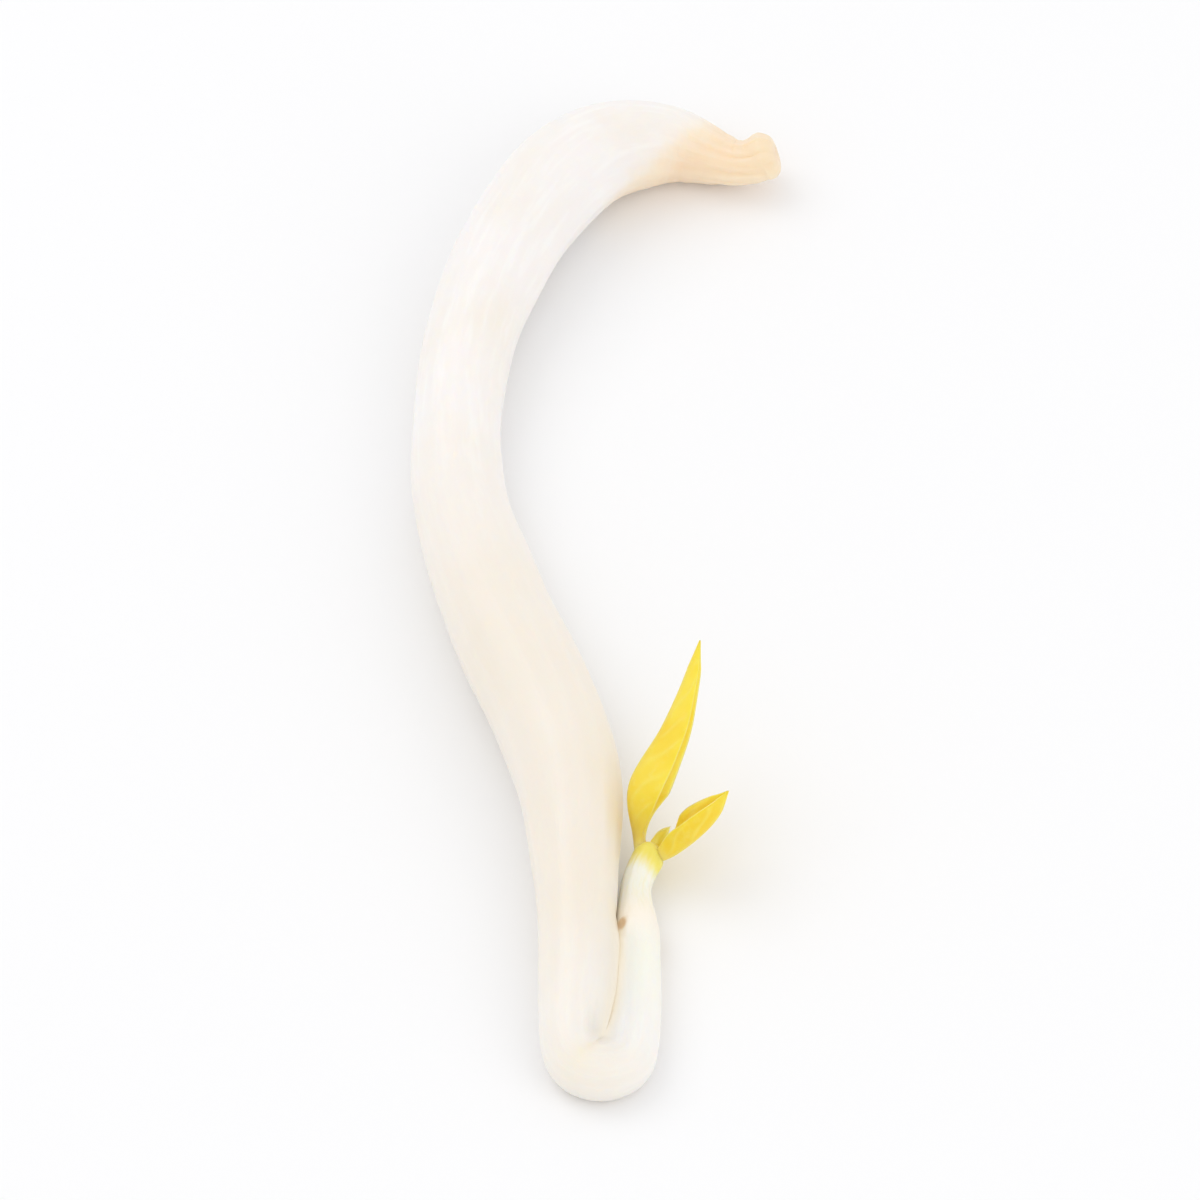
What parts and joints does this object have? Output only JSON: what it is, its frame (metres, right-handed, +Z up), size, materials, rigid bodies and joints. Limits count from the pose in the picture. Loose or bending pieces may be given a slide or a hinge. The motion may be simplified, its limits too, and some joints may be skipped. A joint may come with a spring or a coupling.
{
  "type": "mung bean sprout",
  "caption": "Single mung bean sprout lying on its side: pale curved stem with a blunt root end, a tight hook and small folded yellow leaves.",
  "frame": {"origin": "on the table, under the middle of the sprout's box", "axes": "+Z up from the table, +Y along the length towards the root end, +X towards the side that the leaves and the root end lean to"},
  "size_m": [0.012, 0.0408, 0.0049],
  "materials": {
    "stem": "moist translucent off-white plant flesh, turning tan to brown towards the root end",
    "shoot": "moist pale yellow plant flesh",
    "leaf": "soft satin golden yellow leaf with fine veins"
  },
  "bodies": {
    "root": {"stem_with_root": "stem", "epicotyl": "shoot", "leaf_large": "leaf", "leaf_small": "leaf"}
  },
  "joints": []
}
